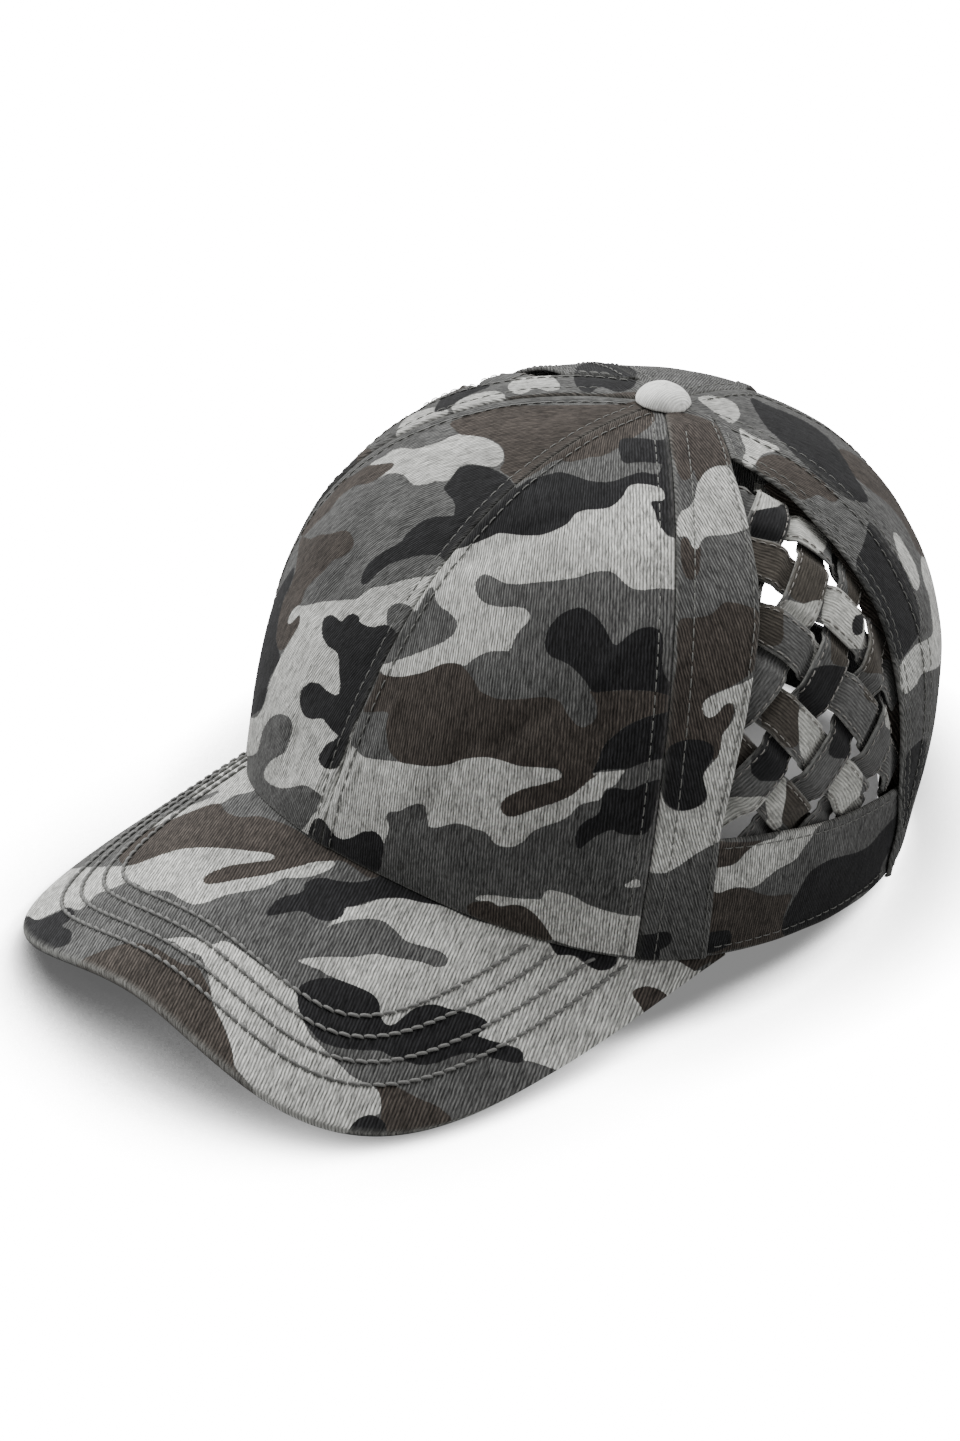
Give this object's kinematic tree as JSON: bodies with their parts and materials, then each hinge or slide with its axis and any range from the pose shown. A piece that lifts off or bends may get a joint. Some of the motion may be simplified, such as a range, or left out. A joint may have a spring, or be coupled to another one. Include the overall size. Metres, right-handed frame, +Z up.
{
  "type": "ponytail baseball cap",
  "caption": "Camouflage cotton baseball cap with woven strip windows at both sides, a curved stitched brim and a ponytail opening at the back.",
  "frame": {"origin": "on the surface that the cap rests on, under the middle of its box", "axes": "+Z up, -Y the way the brim points, +X the wearer's left; metres; the cap rests on the two low sides of its brim and the back of its rim"},
  "size_m": [0.177, 0.2594, 0.1292],
  "materials": {
    "panel_twill": "grey, light grey, brown and black camouflage cotton twill, washed",
    "band_twill": "the same camouflage twill, folded and topstitched",
    "strip_twill": "the same camouflage twill, folded to strips with worn edges",
    "brim_twill": "the same camouflage twill over a stiff board, four rows of stitching",
    "button_twill": "light grey twill over a round button",
    "strap_cloth": "plain dark cloth"
  },
  "bodies": {
    "root": {"front_panel_left": "panel_twill", "front_panel_right": "panel_twill", "front_band_left": "band_twill", "front_band_right": "band_twill", "rear_band_left": "band_twill", "rear_band_right": "band_twill", "hem_band_left": "band_twill", "hem_band_right": "band_twill", "back_panel_left": "panel_twill", "back_panel_right": "panel_twill", "back_strap": "strap_cloth", "brim": "brim_twill", "button": "button_twill", "rising_strip_left_1": "strip_twill", "rising_strip_left_2": "strip_twill", "rising_strip_left_3": "strip_twill", "rising_strip_left_4": "strip_twill", "rising_strip_left_5": "strip_twill", "falling_strip_left_1": "strip_twill", "falling_strip_left_2": "strip_twill", "falling_strip_left_3": "strip_twill", "falling_strip_left_4": "strip_twill", "falling_strip_left_5": "strip_twill", "rising_strip_right_1": "strip_twill", "rising_strip_right_2": "strip_twill", "rising_strip_right_3": "strip_twill", "rising_strip_right_4": "strip_twill", "rising_strip_right_5": "strip_twill", "falling_strip_right_1": "strip_twill", "falling_strip_right_2": "strip_twill", "falling_strip_right_3": "strip_twill", "falling_strip_right_4": "strip_twill", "falling_strip_right_5": "strip_twill"}
  },
  "joints": []
}
